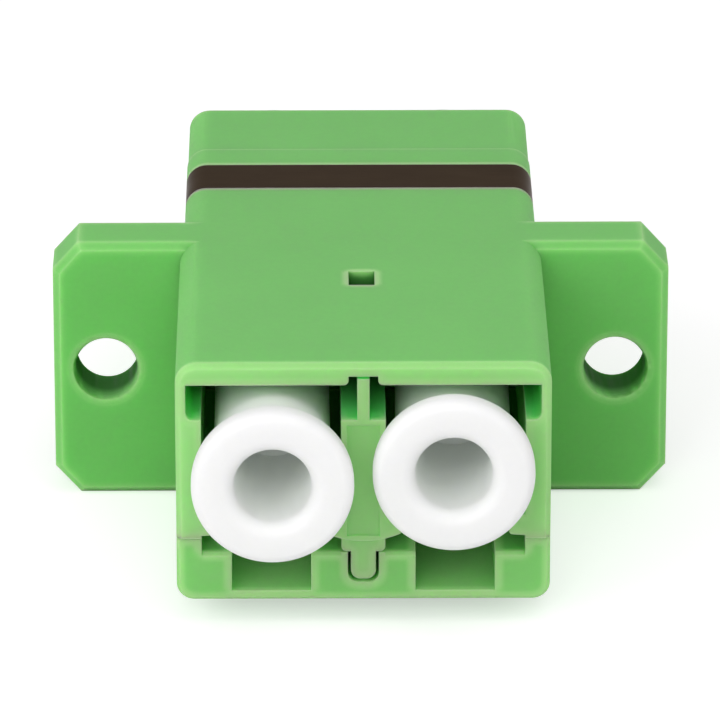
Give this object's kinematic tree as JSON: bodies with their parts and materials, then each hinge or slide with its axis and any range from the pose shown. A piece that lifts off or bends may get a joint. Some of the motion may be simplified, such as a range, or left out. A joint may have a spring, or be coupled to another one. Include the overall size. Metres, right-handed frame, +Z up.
{
  "type": "duplex fibre optic adapter",
  "caption": "Flanged duplex fibre optic adapter with square latch ports at both ends, a spring clip and pull-out dust plugs.",
  "frame": {"origin": "midway between the two flange holes, on the flange's rear face, where the panel lies", "axes": "+X to the right for someone facing the front ports, +Y towards the rear ports, +Z up, away from the latch channels"},
  "size_m": [0.0218, 0.0307, 0.0094],
  "materials": {
    "green_plastic": "satin",
    "holder_plastic": "satin",
    "zirconia": "polished",
    "dark_steel": "satin",
    "white_plastic": "matte"
  },
  "bodies": {
    "adapter": {"housing": "green_plastic", "bottom_cover": "green_plastic", "front_sleeve_holder": "holder_plastic", "rear_sleeve_holder": "holder_plastic", "left_sleeve": "zirconia", "right_sleeve": "zirconia", "panel_clip": "dark_steel"},
    "front_left_plug": {"front_left_plug": "white_plastic"},
    "front_right_plug": {"front_right_plug": "white_plastic"},
    "rear_left_plug": {"rear_left_plug": "white_plastic"},
    "rear_right_plug": {"rear_right_plug": "white_plastic"}
  },
  "joints": [
    {"name": "front_left_plug_pull", "type": "slide", "parent": "adapter", "child": "front_left_plug", "axis": [0, -1, 0], "range_m": [-0.00245, 0.0118]},
    {"name": "front_right_plug_pull", "type": "slide", "parent": "adapter", "child": "front_right_plug", "axis": [0, -1, 0], "range_m": [-0.00145, 0.0128]},
    {"name": "rear_left_plug_pull", "type": "slide", "parent": "adapter", "child": "rear_left_plug", "axis": [0, 1, 0], "range_m": [-0.0002, 0.014]},
    {"name": "rear_right_plug_pull", "type": "slide", "parent": "adapter", "child": "rear_right_plug", "axis": [0, 1, 0], "range_m": [-0.0002, 0.014]}
  ]
}
